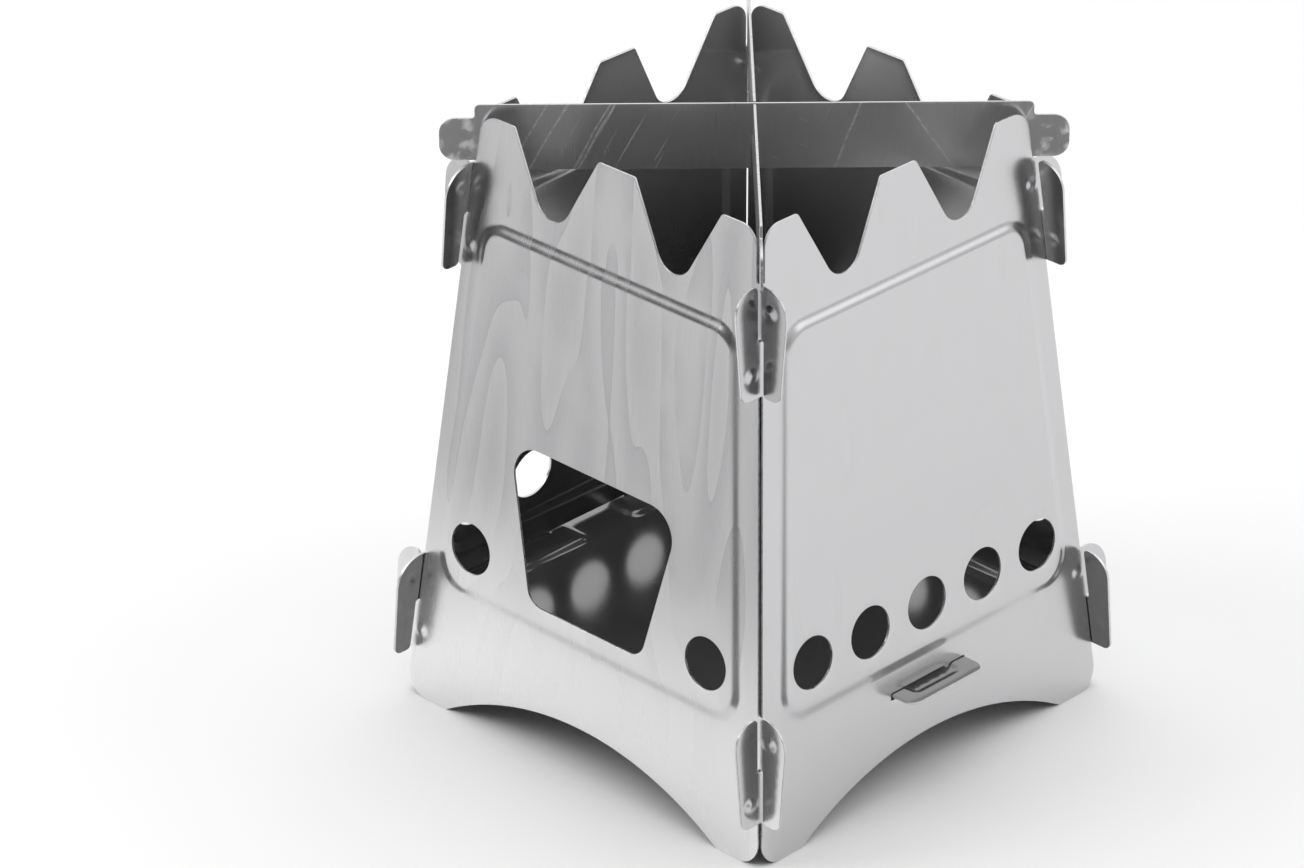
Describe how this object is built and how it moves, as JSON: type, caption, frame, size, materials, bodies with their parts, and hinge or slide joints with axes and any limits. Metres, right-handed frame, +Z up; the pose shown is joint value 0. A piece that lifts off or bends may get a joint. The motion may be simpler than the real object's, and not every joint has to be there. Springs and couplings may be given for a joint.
{
  "type": "twig stove",
  "caption": "Flat-pack twig stove: leaning sheet-steel walls hooked at the corners, a dished floor plate on tabs, a fuel port, and crossed bars for a pot.",
  "frame": {"origin": "on the ground under the middle of the stove", "axes": "+Z up; -Y towards the wall with the fuel port; +X to the right as seen from that side"},
  "size_m": [0.122, 0.122, 0.1477],
  "materials": {
    "wall_steel": "satin",
    "floor_steel": "satin",
    "bar_steel": "satin, scratched"
  },
  "bodies": {
    "stove": {"front_wall": "wall_steel", "right_wall": "wall_steel", "back_wall": "wall_steel", "left_wall": "wall_steel", "floor_plate": "floor_steel"},
    "lower_bar": {"crossbar_lower": "bar_steel"},
    "upper_bar": {"crossbar_upper": "bar_steel"}
  },
  "joints": [
    {"name": "lower_bar_lift", "type": "slide", "parent": "stove", "child": "lower_bar", "axis": [0, 0, 1], "range_m": [0, 0.03]},
    {"name": "upper_bar_lift", "type": "slide", "parent": "lower_bar", "child": "upper_bar", "axis": [0, 0, 1], "range_m": [0, 0.03]}
  ]
}
